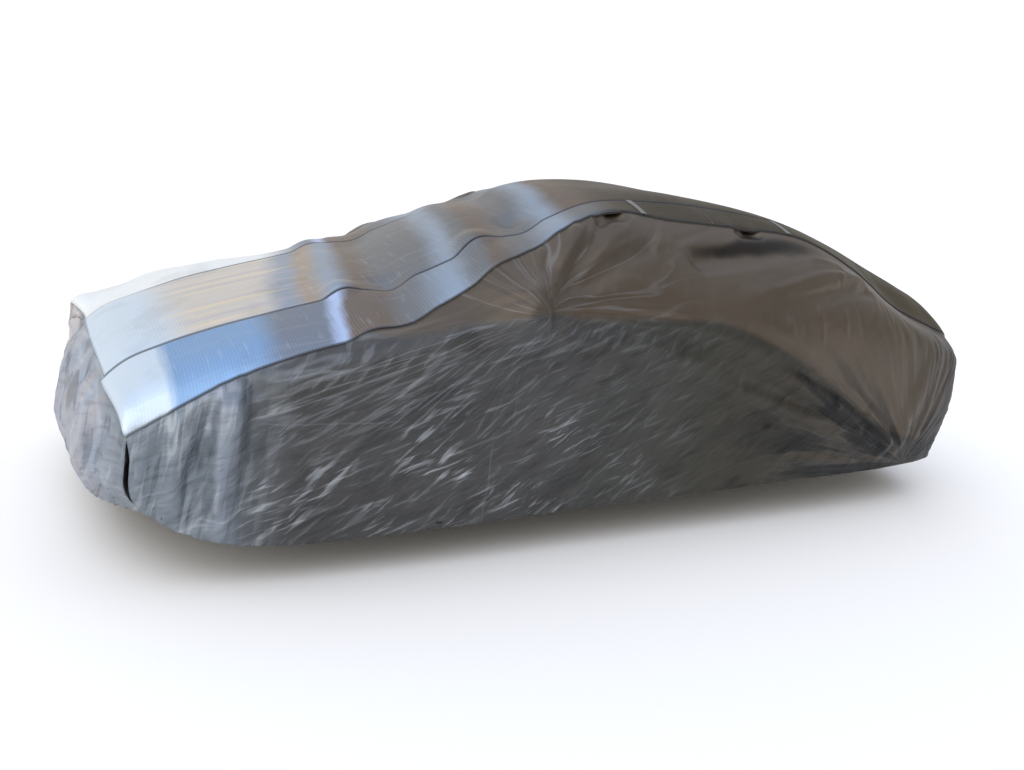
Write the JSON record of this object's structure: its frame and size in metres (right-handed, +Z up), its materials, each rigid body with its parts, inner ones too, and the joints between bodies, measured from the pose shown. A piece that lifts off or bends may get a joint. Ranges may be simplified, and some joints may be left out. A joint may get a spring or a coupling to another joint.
{
  "type": "car cover",
  "caption": "Fitted saloon car cover: thin silver skin draped to the hem, with ribbed foam pads over hood, roof and boot.",
  "frame": {"origin": "inner face of the skin at the crown of the roof, where the car holds the cover up", "axes": "+X from the nose to the tail, +Y to the car's right, -Y the near side, +Z up"},
  "size_m": [4.5057, 1.9251, 1.3187],
  "materials": {
    "skin": "shiny crinkled silver film cloth",
    "pad": "satin silver film on ribbed foam",
    "tab": "pale matt tape"
  },
  "bodies": {
    "root": {"pad_centre_boot": "pad", "pad_centre_front": "pad", "pad_far_strip_boot": "pad", "pad_far_strip_front": "pad", "pad_far_strip_quarter": "pad", "pad_far_strip_roof_front": "pad", "pad_far_strip_roof_rear": "pad", "pad_near_strip_boot": "pad", "pad_near_strip_front": "pad", "pad_near_strip_quarter": "pad", "pad_near_strip_roof_front": "pad", "pad_near_strip_roof_rear": "pad", "skin_front": "skin", "skin_rear": "skin", "skin_side_far": "skin", "skin_side_near": "skin", "skin_top": "skin", "tab_far_front": "tab", "tab_far_roof_rear": "tab", "tab_near_front": "tab", "tab_near_roof_rear": "tab"}
  },
  "joints": []
}
